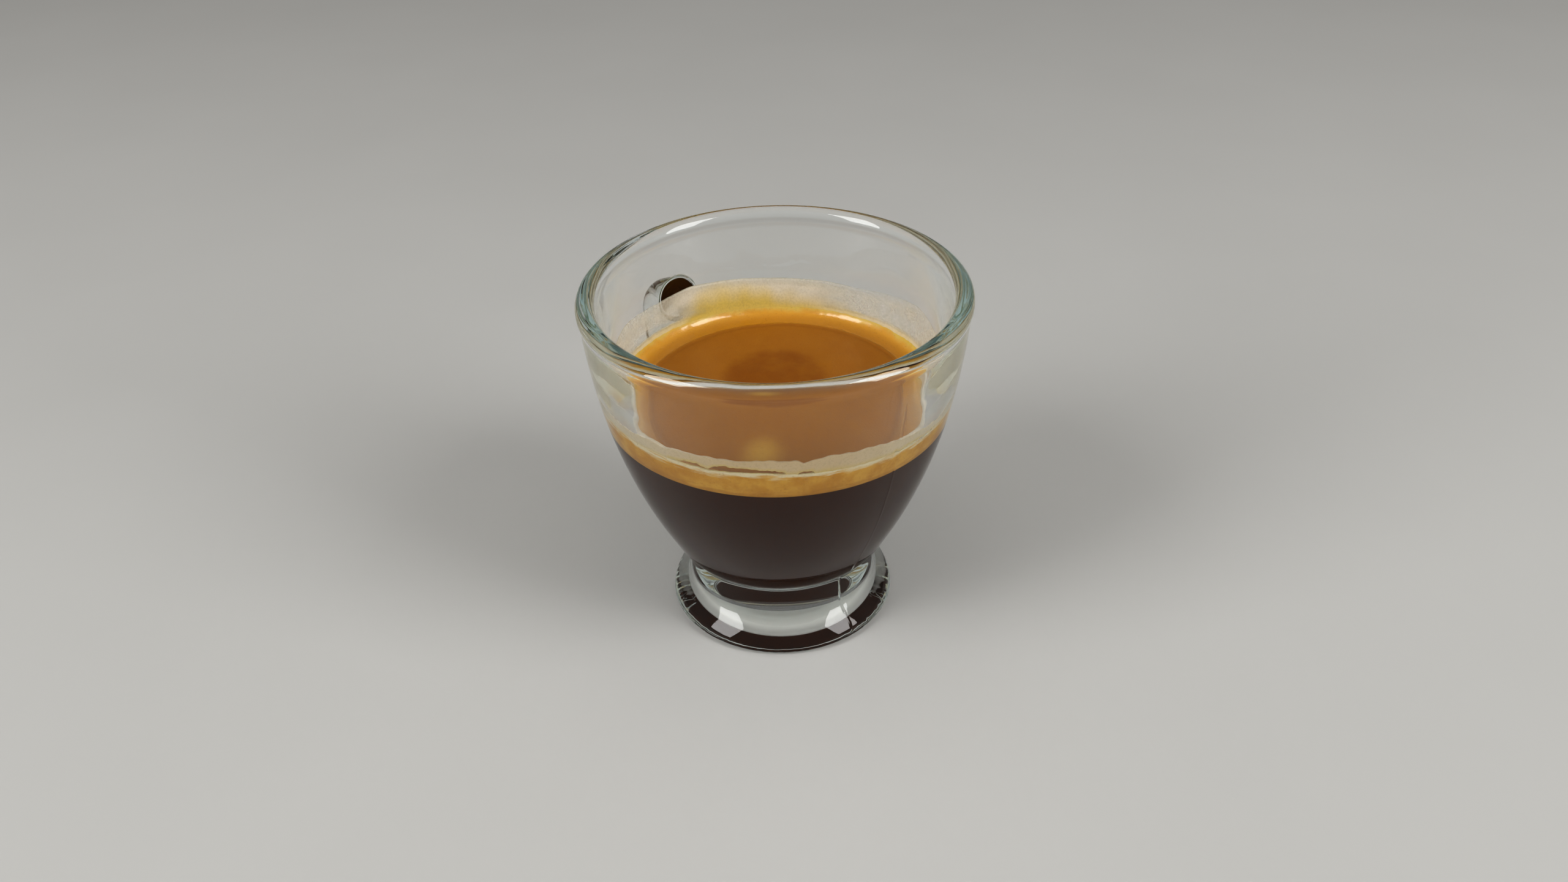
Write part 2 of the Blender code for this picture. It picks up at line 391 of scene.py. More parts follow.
# Sections of the handle: points round one, steps along the loop, and the stretch a direction is read from
HANDLE_SIDES = 56
HANDLE_UPPER_STEPS = 26
HANDLE_LOWER_STEPS = 30
HANDLE_STATIONS = 40
HANDLE_HALF_STRETCH = 0.6
# Round that joins the handle to the wall, and the sections' distances from a root in it
FILLET = 1.5
FILLET_START = 0.1
FILLET_STATIONS = (-0.5, 0.0, 0.05, 0.12, 0.22, 0.36, 0.55, 0.8, 1.1, 1.5, 2.0, 2.6, 3.4)
FILLET_END = 4.4
# Distances from a root over which a section ceases to follow the wall
HUG_FADE = (0.6, 5.0)
# How far either way the wall is looked for, and in how many halvings
WALL_SEARCH = 9.0
WALL_SEARCH_ROUNDS = 40


def handle_centre():
    """Centre line of the handle between its two roots on the wall."""
    drop = math.radians(HANDLE_TOP_DROP)
    rise = math.radians(HANDLE_LOW_RISE)
    out_step = scaled((math.cos(drop), -math.sin(drop)), HANDLE_TOP_PULL)
    upper_step = (0.0, -HANDLE_UPPER_PULL)
    lower_step = (0.0, -HANDLE_LOWER_PULL)
    in_step = scaled((-math.cos(rise), math.sin(rise)), HANDLE_LOW_PULL)
    path = [HANDLE_TOP_ROOT]
    path += bezier(HANDLE_TOP_ROOT, out_step, HANDLE_REACH, upper_step, HANDLE_UPPER_STEPS)
    path += bezier(HANDLE_REACH, lower_step, HANDLE_LOW_ROOT, in_step, HANDLE_LOWER_STEPS)
    return np.array(path)


def on_path(path, travel, station):
    """Place that far along the handle's centre line."""
    out = np.interp(station, travel, path[:, 0])
    up = np.interp(station, travel, path[:, 1])
    return np.array([out, 0.0, up])


def wall_distance(place, direction):
    """How far a place lies from the outside wall, measured along a direction that leads out."""
    low, high = -WALL_SEARCH, WALL_SEARCH
    for _ in range(WALL_SEARCH_ROUNDS):
        middle = (low + high) / 2
        probe = place + direction * middle
        if math.hypot(probe[0], probe[1]) < outer_radius(probe[2]):
            low = middle
        else:
            high = middle
    return (low + high) / 2


def handle_section(centre, along, leads_out, inside):
    """Points of one section, that far inside its nearer root; it is spread where it meets the wall."""
    outward = np.array([-along[2], 0.0, along[0]])
    hug = 1.0 - smooth_step(*HUG_FADE, inside)
    depth = max(inside, 0.0) + FILLET_START
    spread = 0.0
    if depth < FILLET:
        spread = FILLET - math.sqrt(FILLET ** 2 - (FILLET - depth) ** 2)
    root = centre - leads_out * inside
    points = []
    for side in range(HANDLE_SIDES):
        angle = 2 * math.pi * side / HANDLE_SIDES
        section = outward * ((HANDLE_HALF_DEPTH + spread) * math.cos(angle))
        section = section + np.array([0, 1, 0]) * ((HANDLE_HALF_WIDTH + spread) * math.sin(angle))
        place = centre + section
        if hug > 0.0:
            place = place + leads_out * (wall_distance(root + section, leads_out) * hug)
        points.append(tuple(place))
    return points


def handle_body():
    """The ear handle: an oval section swept along its loop."""
    path = handle_centre()
    travel = np.concatenate([[0], np.cumsum(np.linalg.norm(np.diff(path, axis=0), axis=1))])
    length = travel[-1]
    stations = [*FILLET_STATIONS, *np.linspace(FILLET_END, length - FILLET_END, HANDLE_STATIONS)]
    stations += [length - station for station in reversed(FILLET_STATIONS)]
    points = []
    rings = []
    for station in stations:
        at = np.clip(station, 0.0, length)
        after = on_path(path, travel, at + HANDLE_HALF_STRETCH)
        before = on_path(path, travel, at - HANDLE_HALF_STRETCH)
        along = (after - before) / np.linalg.norm(after - before)
        leads_out = along if station < length / 2 else -along
        inside = min(station, length - station)
        rings.append(range(len(points), len(points) + HANDLE_SIDES))
        points += handle_section(on_path(path, travel, at), along, leads_out, inside)
    faces = [tuple(rings[0]), tuple(reversed(rings[-1]))]
    item = add_mesh("handle_tool", points, faces + ring_faces(rings))
    face_outward(item)
    return item


def fuse(item, tool):
    """Join a tool to an object for good, and remove the tool."""
    modifier = item.modifiers.new("join", "BOOLEAN")
    modifier.operation = "UNION"
    modifier.solver = "EXACT"
    modifier.object = tool
    evaluated = item.evaluated_get(bpy.context.evaluated_depsgraph_get())
    joined = bpy.data.meshes.new_from_object(evaluated)
    item.modifiers.clear()
    item.data = joined
    bpy.data.objects.remove(tool, do_unlink=True)


def make_cup():
    """The glass in one piece."""
    cup = cup_body()
    face_outward(cup)
    fuse(cup, handle_body())
    smooth(cup, CUP_CREASE)
    cup.data.materials.clear()
    cup.data.materials.append(glass_material())
    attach(cup, "root")
    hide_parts("glass")


# Materials

class Nodes:
    """Short hand for building a node tree."""

    def __init__(self, tree):
        self.tree = tree

    def add(self, kind, **values):
        """A node with its properties set."""
        node = self.tree.nodes.new(kind)
        for key, value in values.items():
            setattr(node, key, value)
        return node

    def link(self, source, target):
        """Join an output to an input."""
        self.tree.links.new(source, target)

    def maths(self, operation, first, second=None, clamp=False):
        """One sum on one or two values, each a socket or a number."""
        node = self.add("ShaderNodeMath", operation=operation, use_clamp=clamp)
        for socket, value in zip(node.inputs, (first, second)):
            if value is None:
                continue
            if isinstance(value, (int, float)):
                socket.default_value = value
            else:
                self.link(value, socket)
        return node.outputs["Value"]

    def ramp(self, value, low, high, to_low=0.0, to_high=1.0, kind="SMOOTHSTEP"):
        """A value's stretch from low to high, laid onto another stretch."""
        node = self.add("ShaderNodeMapRange", interpolation_type=kind)
        ends = {"From Min": low, "From Max": high, "To Min": to_low, "To Max": to_high}
        for key, number in ends.items():
            node.inputs[key].default_value = number
        self.link(value, node.inputs["Value"])
        return node.outputs["Result"]


class Surface(Nodes):
    """One material's nodes, with its shader."""

    def __init__(self, name):
        self.material = bpy.data.materials.new(name)
        self.material.use_nodes = True
        super().__init__(self.material.node_tree)
        self.shader = self.tree.nodes["Principled BSDF"]
        self.output = self.tree.nodes["Material Output"]
        self.place = None

    def position(self):
        """The place in the object's own space, in metres."""
        if self.place is None:
            self.place = self.add("ShaderNodeTexCoord").outputs["Object"]
        return self.place

    def noise(self, size, detail, roughness=0.5, stretch=None):
        """Noise with features of about that size in millimetres, as a value."""
        source = self.position()
        if stretch:
            mapping = self.add("ShaderNodeMapping")
            mapping.inputs["Scale"].default_value = stretch
            self.link(source, mapping.inputs["Vector"])
            source = mapping.outputs["Vector"]
        node = self.add("ShaderNodeTexNoise")
        node.inputs["Scale"].default_value = 1.0 / (size * MM)
        node.inputs["Detail"].default_value = detail
        node.inputs["Roughness"].default_value = roughness
        self.link(source, node.inputs["Vector"])
        return node.outputs["Fac"]

    def blend(self, share, first, second):
        """Mix of two colours, each a tuple or a socket."""
        node = self.add("ShaderNodeMix", data_type="RGBA")
        self.link(share, node.inputs["Factor"])
        for key, colour in (("A", first), ("B", second)):
            socket = [s for s in node.inputs if s.name == key and s.type == "RGBA"][0]
            if isinstance(colour, tuple):
                socket.default_value = (*colour, 1.0)
            else:
                self.link(colour, socket)
        return [s for s in node.outputs if s.type == "RGBA"][0]

    def radius(self):
        """Distance from the cup's axis, in millimetres."""
        parts = self.add("ShaderNodeSeparateXYZ")
        self.link(self.position(), parts.inputs["Vector"])
        square = self.maths("MULTIPLY", parts.outputs["X"], parts.outputs["X"])
        other = self.maths("MULTIPLY", parts.outputs["Y"], parts.outputs["Y"])
        return self.maths("DIVIDE", self.maths("SQRT", self.maths("ADD", square, other)), MM)

    def distance(self, azimuth, radius, height):
        """Distance to a fixed place in the cup, in millimetres."""
        along, across = on_ring(azimuth)
        node = self.add("ShaderNodeVectorMath", operation="DISTANCE")
        self.link(self.position(), node.inputs[0])
        node.inputs[1].default_value = (radius * along * MM, radius * across * MM, height * MM)
        return self.maths("DIVIDE", node.outputs["Value"], MM)

    def attribute(self, name):
        """A number that the mesh carries at its points."""
        return self.add("ShaderNodeAttribute", attribute_name=name).outputs["Fac"]

    def bump(self, height, distance):
        """Fine relief of that depth in millimetres."""
        node = self.add("ShaderNodeBump")
        node.inputs["Distance"].default_value = distance * MM
        self.link(height, node.inputs["Height"])
        self.link(node.outputs["Normal"], self.shader.inputs["Normal"])

    def put(self, **values):
        """Set or link the shader's own sockets."""
        for key, value in values.items():
            socket = self.shader.inputs[key.replace("_", " ")]
            if isinstance(value, (int, float)):
                socket.default_value = value
            elif isinstance(value, tuple):
                socket.default_value = (*value, 1.0)
            else:
                self.link(value, socket)


GLASS_TINT = (0.985, 0.996, 0.993)
GLASS_BODY = (0.80, 0.93, 0.93)
GLASS_DENSITY = 12.0
GLASS_INDEX = 1.52


def glass_material():
    """Clear pressed glass with a slight teal body."""
    nodes = Surface("clear_glass")
    nodes.put(Base_Color=GLASS_TINT, Roughness=0.0, IOR=GLASS_INDEX, Transmission_Weight=1.0)
    absorption = nodes.add("ShaderNodeVolumeAbsorption")
    absorption.inputs["Color"].default_value = (*GLASS_BODY, 1.0)
    absorption.inputs["Density"].default_value = GLASS_DENSITY
    nodes.link(absorption.outputs["Volume"], nodes.output.inputs["Volume"])
    return nodes.material


# Noise is given as the size of its features in millimetres, its detail, its roughness and its stretch.
# A ramp is given as its low and high end, and as what these turn into where that isn't 0 and 1.
COFFEE_CLOUDS = (6.0, 3.0)
COFFEE_DARK = (0.036, 0.010, 0.003)
COFFEE_BROWN = (0.046, 0.014, 0.005)
COFFEE_ROUGHNESS = 0.25
COFFEE_GLOSS = 0.03
COFFEE_SLANT = 0.5
COFFEE_MIRRORS = (0.48, 0.56)


def coffee_material():
    """Black coffee, opaque and dark brown, which mirrors what meets it at a slant inside the glass.

    Beyond about 61 degrees the wet wall of the glass reflects everything, as it does with any
    water-like drink behind it.
    """
    nodes = Surface("black_coffee")
    colour = nodes.blend(nodes.noise(*COFFEE_CLOUDS), COFFEE_DARK, COFFEE_BROWN)
    nodes.put(Base_Color=colour, Roughness=COFFEE_ROUGHNESS, Specular_IOR_Level=COFFEE_GLOSS)
    mirror = nodes.add("ShaderNodeBsdfPrincipled")
    mirror.inputs["Base Color"].default_value = (1.0, 1.0, 1.0, 1.0)
    mirror.inputs["Metallic"].default_value = 1.0
    mirror.inputs["Roughness"].default_value = 0.0
    slant = nodes.add("ShaderNodeLayerWeight")
    slant.inputs["Blend"].default_value = COFFEE_SLANT
    mix = nodes.add("ShaderNodeMixShader")
    nodes.link(nodes.ramp(slant.outputs["Facing"], *COFFEE_MIRRORS), mix.inputs[0])
    nodes.link(nodes.shader.outputs["BSDF"], mix.inputs[1])
    nodes.link(mirror.outputs["BSDF"], mix.inputs[2])
    nodes.link(mix.outputs["Shader"], nodes.output.inputs["Surface"])
    return nodes.material


CREMA_CLOUDS = (4.5, 4.0, 0.6)
CREMA_PORES = (0.34, 3.0, 0.75)
CREMA_STREAKS = (1.1, 3.0, 0.5, (0.35, 0.35, 2.2))
# The level crema, with a dark spot, a pale spot, and painted shade in a ring just inside its ridge
SPOT_WANDER = 2.4
SPOT_BROWN = (0.250, 0.088, 0.005)
LEVEL_BROWN = (0.32, 0.130, 0.010)
DARK_SPOT_EDGE = (8.4, 11.4)
LEVEL_GOLD = (0.36, 0.160, 0.014)
LEVEL_CLOUDS = (0.35, 0.7, 0.0, 0.3)
SPOT_GOLD = (0.53, 0.31, 0.045)
PALE_SPOT_EDGE = (1.4, 6.0, 0.75, 0.0)
RIDGE_SHADE_BROWN = (0.20, 0.075, 0.005)
RIDGE_SHADE_EDGE = (21.9, 22.9, 0.0, 0.3)
# Its climb up the wall, by the share of the rise
CLIMB_EDGE = (22.8, 24.0)
CLIMB_WANDER = (0.3, 0.7, -0.12, 0.12)
CLIMB_BROWN = (0.42, 0.19, 0.012)
CLIMB_GOLD = (0.54, 0.28, 0.025)
CLIMB_GOLD_FROM = (0.0, 0.4)
CLIMB_YELLOW = (0.56, 0.42, 0.11)
CLIMB_YELLOW_FROM = (0.35, 0.8)
CLIMB_CREAM = (0.58, 0.48, 0.22)
CLIMB_CREAM_FROM = (0.8, 1.05)
# The band that shows through the wall, by the share of the rise
BAND_GOLD = (0.49, 0.245, 0.030)
BAND_YELLOW = (0.60, 0.345, 0.060)
BAND_CLOUDS = (0.35, 0.65)
BAND_WANDER = (0.3, 0.7, -0.1, 0.1)
BAND_BROWN = (0.36, 0.165, 0.020)
BAND_BROWN_FADE = (0.0, 0.3, 0.5, 0.0)
BAND_CREAM = (0.66, 0.58, 0.41)
BAND_CREAM_FROM = (0.74, 1.0)
BAND_PALE = (0.76, 0.72, 0.62)
BAND_PALE_FROM = (0.05, 0.5)
# Pores, gloss and the wet coat of the climb
PORE_BROWN = (0.16, 0.055, 0.004)
PORE_SHARE = (0.30, 0.42, 0.30, 0.0)
PORE_DEPTH = 0.05
CREMA_GLOSS = 0.35
CREMA_ROUGHNESS = (22.6, 24.2, 0.5, 0.22)
WET_FROM = (22.9, 23.8)
WET_ROUGHNESS = 0.14
WET_INDEX = 1.5


def crema_material():
    """Golden brown foam: darkest in the middle, yellower up the wall, cream where it ends."""
    nodes = Surface("golden_crema")
    radius = nodes.radius()
    wall = nodes.attribute("wall")
    rise = nodes.attribute("rise")
    cloud = nodes.noise(*CREMA_CLOUDS)
    grain = nodes.noise(*CREMA_PORES)
    streak = nodes.noise(*CREMA_STREAKS)
    wander = nodes.maths("MULTIPLY", cloud, SPOT_WANDER)
    from_dark = nodes.maths("ADD", nodes.distance(*DARK_SPOT, CREMA_SURFACE), wander)
    from_pale = nodes.maths("ADD", nodes.distance(*PALE_SPOT, CREMA_SURFACE), wander)
    level = nodes.blend(nodes.ramp(from_dark, *DARK_SPOT_EDGE), SPOT_BROWN, LEVEL_BROWN)
    level = nodes.blend(nodes.ramp(cloud, *LEVEL_CLOUDS), level, LEVEL_GOLD)
    level = nodes.blend(nodes.ramp(from_pale, *PALE_SPOT_EDGE), level, SPOT_GOLD)
    # Painted shade: a darker brown ring just inside the ridge
    level = nodes.blend(nodes.ramp(radius, *RIDGE_SHADE_EDGE), level, RIDGE_SHADE_BROWN)
    uneven_rise = nodes.maths("ADD", rise, nodes.ramp(cloud, *CLIMB_WANDER))
    climb = nodes.blend(nodes.ramp(rise, *CLIMB_GOLD_FROM), CLIMB_BROWN, CLIMB_GOLD)
    climb = nodes.blend(nodes.ramp(uneven_rise, *CLIMB_YELLOW_FROM), climb, CLIMB_YELLOW)
    climb = nodes.blend(nodes.ramp(uneven_rise, *CLIMB_CREAM_FROM), climb, CLIMB_CREAM)
    free = nodes.blend(nodes.ramp(radius, *CLIMB_EDGE), level, climb)
    band = nodes.blend(nodes.ramp(cloud, *BAND_CLOUDS), BAND_GOLD, BAND_YELLOW)
    band_rise = nodes.maths("ADD", rise, nodes.ramp(streak, *BAND_WANDER))
    band = nodes.blend(nodes.ramp(band_rise, *BAND_BROWN_FADE), band, BAND_BROWN)
    band = nodes.blend(nodes.ramp(band_rise, *BAND_CREAM_FROM), band, BAND_CREAM)
    pale = nodes.maths("MULTIPLY", nodes.attribute("pale"), nodes.ramp(band_rise, *BAND_PALE_FROM))
    band = nodes.blend(pale, band, BAND_PALE)
    colour = nodes.blend(wall, free, band)
    colour = nodes.blend(nodes.ramp(grain, *PORE_SHARE), colour, PORE_BROWN)
    nodes.put(Base_Color=colour, Specular_IOR_Level=CREMA_GLOSS)
    nodes.put(Roughness=nodes.ramp(radius, *CREMA_ROUGHNESS))
    off_the_wall = nodes.maths("SUBTRACT", 1.0, wall)
    wet = nodes.maths("MULTIPLY", nodes.ramp(radius, *WET_FROM), off_the_wall)
    nodes.put(Coat_Weight=wet, Coat_Roughness=WET_ROUGHNESS, Coat_IOR=WET_INDEX)
    nodes.bump(grain, PORE_DEPTH)
    return nodes.material


FOAM_CLOUDS = (2.6, 3.0)
FOAM_PORES = (0.4, 2.0, 0.7)
FOAM_CREAM = (0.55, 0.505, 0.405)
FOAM_PALE_CREAM = (0.64, 0.605, 0.52)
FOAM_TAN = (0.52, 0.35, 0.17)
FOAM_TAN_FADE = (4.0, 42.0, 0.6, 0.0)
FOAM_YELLOW = (0.56, 0.43, 0.13)
FOAM_PORE_BROWN = (0.42, 0.33, 0.20)
FOAM_PORE_SHARE = (0.3, 0.45, 0.16, 0.0)
FOAM_PORE_DEPTH = 0.03
FOAM_THINNER = (0.3, 0.7, -0.05, 0.05)
FOAM_ROUGHNESS = 0.3
FOAM_GLOSS = 0.3


def foam_material():
    """Pale cream foam, from a thick bead to a film that the table shows through."""
    nodes = Surface("pale_foam")
    grain = nodes.noise(*FOAM_PORES)
    colour = nodes.blend(nodes.noise(*FOAM_CLOUDS), FOAM_CREAM, FOAM_PALE_CREAM)
    near_front = nodes.ramp(nodes.distance(*FOAM_FRONT), *FOAM_TAN_FADE)
    colour = nodes.blend(near_front, colour, FOAM_TAN)
    colour = nodes.blend(nodes.attribute("warmth"), colour, FOAM_YELLOW)
    colour = nodes.blend(nodes.ramp(grain, *FOAM_PORE_SHARE), colour, FOAM_PORE_BROWN)
    thinner = nodes.ramp(grain, *FOAM_THINNER)
    nodes.put(Base_Color=colour, Roughness=FOAM_ROUGHNESS, Specular_IOR_Level=FOAM_GLOSS)
    nodes.put(Alpha=nodes.maths("ADD", nodes.attribute("veil"), thinner, clamp=True))
    nodes.bump(grain, FOAM_PORE_DEPTH)
    return nodes.material


# The contents

COFFEE_SIDES = 160
COFFEE_CREASE = 40.0
COFFEE_LEAST_RADIUS = 0.5
# How far the coffee reaches up into the crema, and down into the glass for each step out into it
COFFEE_INTO_CREMA = 0.05
COFFEE_DOWN_SHARE = 0.5


def turned(name, outline, sides):
    """Closed solid turned about Z from an outline that starts and ends on the axis."""
    points = []
    rings = []
    for radius, height in outline:
        if radius < ON_AXIS:
            rings.append([len(points)])
            points.append((0.0, 0.0, height))
            continue
        angles = 2 * np.pi * np.arange(sides) / sides
        rings.append(list(range(len(points), len(points) + sides)))
        points += [(radius * math.cos(a), radius * math.sin(a), height) for a in angles]
    item = add_mesh(name, points, ring_faces(rings))
    face_outward(item)
    return item


def make_coffee():
    """The coffee, which reaches a little into the glass so that no gap shows."""
    outline = [(0.0, HOLLOW_FLOOR - WALL_OVERLAP)]
    for radius, height in reversed(hollow_outline()):
        if radius > COFFEE_LEAST_RADIUS and height < CREMA_BASE:
            outline.append((radius + WALL_OVERLAP, height - WALL_OVERLAP * COFFEE_DOWN_SHARE))
    top = CREMA_BASE + COFFEE_INTO_CREMA
    outline.append((inner_radius(CREMA_BASE) + WALL_OVERLAP, top))
    outline.append((0.0, top))
    coffee = turned("coffee_body", outline, COFFEE_SIDES)
    smooth(coffee, COFFEE_CREASE)
    coffee.data.materials.append(coffee_material())
    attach(coffee, "root")
    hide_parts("coffee")


# Places round the cup as azimuth and value: where the crema and the foam end on the wall
CREMA_EDGE = ((-180, 45.6), (-120, 45.9), (-80, 46.5), (-60, 46.3), (-35, 46.1), (-22, 45.9),
              (-8, 46.4), (4, 46.1), (12, 45.9), (30, 45.7), (40, 45.4), (52, 45.2), (60, 45.5),
              (90, 46.0), (120, 45.7))
FOAM_TOP = ((-178, 50.5), (-145, 51.4), (-130, 50.9), (-110, 51.4), (-90, 50.3), (-78, 49.2),
            (-66, 48.3), (-52, 48.2), (-43, 48.7), (-36, 48.2), (-28, 48.5), (-12, 48.6),
            (-3, 48.9), (5, 48.85), (7.5, 48.15), (11, 48.8), (15, 49.0), (26, 48.65), (38, 48.15),
            (48, 47.4), (60, 46.9), (75, 48.6), (88, 50.2), (99, 50.8), (116, 52.0), (147, 50.2),
            (161, 50.3))
# Width of the gap where the foam has come loose from the crema below it
FOAM_GAP = ((-37, 0.0), (-34, 0.3), (-29, 0.85), (-24, 0.6), (-22.3, 0.4), (-20.8, 1.05),
            (-17, 1.2), (-11, 0.95), (-5, 0.6), (-2, 0.75), (1, 0.5), (3, 0.0), (5, 0.0),
            (6, 0.45), (9.5, 0.6), (11.5, 0.1), (12.5, 0.0), (36, 0.0), (39, 0.25), (45, 0.4),
            (51, 0.3), (57, 0.2), (61, 0.0))
# How much the foam hides, near its top and near the crema
VEIL_HIGH = ((-180, 0.95), (-160, 0.97), (-145, 0.9), (-136, 0.6), (-125, 0.45), (-105, 0.5),
             (-88, 0.8), (-70, 0.95), (-60, 1.0), (60, 1.0), (70, 0.95), (88, 0.75), (105, 0.45),
             (130, 0.28), (150, 0.4), (165, 0.85))
VEIL_LOW = ((-180, 0.95), (-155, 0.9), (-145, 0.5), (-130, 0.14), (-115, 0.2), (-100, 0.6),
            (-85, 0.9), (-70, 0.95), (-60, 1.0), (60, 1.0), (70, 0.95), (85, 0.85), (105, 0.5),
            (130, 0.3), (150, 0.5), (162, 0.9))
# How far the foam fades out at its top
VEIL_FADE = ((-180, 0.45), (-150, 0.25), (-120, 0.2), (-80, 0.0), (80, 0.0), (100, 0.3),
             (140, 0.6), (165, 0.55))
# How yellow the foam is near the crema
WARMTH = ((-180, 1.2), (-168, 1.6), (-152, 1.6), (-140, 0.9), (-125, 0.6), (-90, 0.5),
          (-60, 0.6), (60, 0.6), (90, 0.4), (140, 0.5), (165, 0.9))
# Middle of the foam in front, as azimuth, distance from the cup's axis and height
FOAM_FRONT = (0.0, 29.0, 44.0)
# Places on the level crema, as azimuth and distance from the cup's axis
DARK_SPOT = (-176.0, 4.5)
PALE_SPOT = (-8.7, 17.7)

FOAM_CREASE = 60.0
RING_SIDES = 480
# Radius of the ring along which ripples on the wall are read
RIPPLE_RING = 29.0
# Azimuths on either side over which what is in front passes into what is behind
EDGE_TURNS = (62.0, 90.0)
LUMPS_TURN = (65.0, 100.0)
BEAD_TURNS = (62.0, 85.0)
PALE_ENDS = (150.0, 170.0)
# Ripples of the crema's edge, surface and ridge, of the foam's top and of the gap
EDGE_JAGS = (0.12, 0.9, 5.0)
EDGE_SWELLS = (0.1, 3.0, 6.0)
CREMA_BUMPS = (0.04, 2.4, 11.0)
CREMA_SWELLS = (0.07, 8.0, 12.0)
RIDGE_SWELLS = (1.0, 5.0, 15.0)
FOAM_SWELLS = (0.1, 6.0, 7.0)
FOAM_LUMPS = (0.3, 1.5, 8.0)
FOAM_DENTS = (0.25, 2.4, 9.0)
LUMPS_BEHIND = 0.15
GAP_JAGS = (0.25, 0.7, 10.0)
GAP_FINE_JAGS = (0.12, 0.3, 14.0)
GAP_OPENS = (0.05, 0.2)
# How far the foam reaches down into the crema's edge, everywhere and further behind
FOAM_REACH = 0.3
FOAM_REACH_BEHIND = 0.9


def around(table, azimuth):
    """Value at an azimuth, read from a short table of places round the cup."""
    places, values = zip(*table)
    return float(np.interp(azimuth, places, values, period=360.0))


def on_ring(azimuth):
    """Cosine and sine of an azimuth's angle in the cup's own frame."""
    angle = math.radians(VIEW_SIDE + azimuth)
    return math.cos(angle), math.sin(angle)


def toward_back(azimuth, turns):
    """0 in front and 1 behind, eased between two azimuths on either side."""
    return smooth_step(*turns, abs(azimuth))


def wall_ripple(azimuth, kind, level=0.0):
    """Ripple of that kind along the wall."""
    along, across = on_ring(azimuth)
    return ripple((RIPPLE_RING * along, RIPPLE_RING * across, level), kind)


def crema_edge(azimuth):
    """Height where the golden crema ends on the wall."""
    jags = wall_ripple(azimuth, EDGE_JAGS)
    return around(CREMA_EDGE, azimuth) + jags + wall_ripple(azimuth, EDGE_SWELLS)


def foam_top(azimuth):
    """Height where the foam on the wall ends: lumpy in front, smooth at the back."""
    front = 1.0 - toward_back(azimuth, LUMPS_TURN)
    lumps = wall_ripple(azimuth, FOAM_LUMPS) - abs(wall_ripple(azimuth, FOAM_DENTS))
    lumps *= LUMPS_BEHIND + (1.0 - LUMPS_BEHIND) * front
    return around(FOAM_TOP, azimuth) + wall_ripple(azimuth, FOAM_SWELLS) + lumps


def foam_foot(azimuth):
    """Height where the foam on the wall begins: in the crema's edge, or above a gap."""
    gap = around(FOAM_GAP, azimuth)
    if gap > 0.0:
        gap += wall_ripple(azimuth, GAP_JAGS) + wall_ripple(azimuth, GAP_FINE_JAGS)
    opened = smooth_step(*GAP_OPENS, gap)
    reach = FOAM_REACH + FOAM_REACH_BEHIND * toward_back(azimuth, EDGE_TURNS)
    return crema_edge(azimuth) - reach + (max(gap, 0.0) + FOAM_REACH) * opened


BAND_STEPS = 12
# The climb: where it starts beside the level crema, where it ends under the edge, and its two pulls
CLIMB_START = (CREMA_FLAT_RADIUS + 0.35, CREMA_SURFACE + 0.04)
CLIMB_START_PULL = (1.9, 0.35)
CLIMB_END_PULL = (0.25, 1.9)
CLIMB_STEPS = 20
EDGE_INSET = 0.2
EDGE_OUT_BEHIND = 0.18
EDGE_LIFT = 0.02
# The thin ridge: its least height, its mean swell, and its points as steps out and up from its top
RIDGE_LEAST = 0.05
RIDGE_SWELL = 0.09
RIDGE = ((0.16, -0.03), (0.0, 0.0), (-0.14, -0.05))
RIDGE_INNER_FOOT = 0.3
# Radii of the level crema's points
LEVEL_RADII = (CREMA_FLAT_RADIUS - 0.8, 0.5)
LEVEL_STEPS = 44


def crema_outline(azimuth):
    """The crema's section at an azimuth, from its underside's rim to the middle of its top.

    Each point has its radius, its height, its share of the rise and whether it lies on the wall.
    """
    edge = crema_edge(azimuth)
    points = []
    for share in np.linspace(0.0, 1.0, BAND_STEPS):
        height = CREMA_BASE + (edge - CREMA_BASE) * share
        points.append((inner_radius(height) + WALL_OVERLAP, height, share, 1.0))
    inset = EDGE_INSET - EDGE_OUT_BEHIND * toward_back(azimuth, EDGE_TURNS)
    top = (inner_radius(edge) - inset, edge + EDGE_LIFT)
    climb = bezier(CLIMB_START, CLIMB_START_PULL, top, CLIMB_END_PULL, CLIMB_STEPS)
    for radius, height in reversed(climb):
        share = (height - CREMA_SURFACE) / (edge - CREMA_SURFACE)
        points.append((radius, height, share, 0.0))
    points.append((*CLIMB_START, 0.0, 0.0))
    ridge = CREMA_SURFACE + RIDGE_LEAST + RIDGE_SWELL * (1 + wall_ripple(azimuth, RIDGE_SWELLS))
    for out, up in RIDGE:
        points.append((CREMA_FLAT_RADIUS + out, ridge + up, 0.0, 0.0))
    points.append((CREMA_FLAT_RADIUS - RIDGE_INNER_FOOT, CREMA_SURFACE, 0.0, 0.0))
    for radius in np.linspace(*LEVEL_RADII, LEVEL_STEPS):
        points.append((float(radius), CREMA_SURFACE, 0.0, 0.0))
    return points


def add_values(item, **values):
    """Give each point of a mesh its numbers, by name, for the material to read."""
    for name, numbers in values.items():
        item.data.attributes.new(name, "FLOAT", "POINT").data.foreach_set("value", numbers)


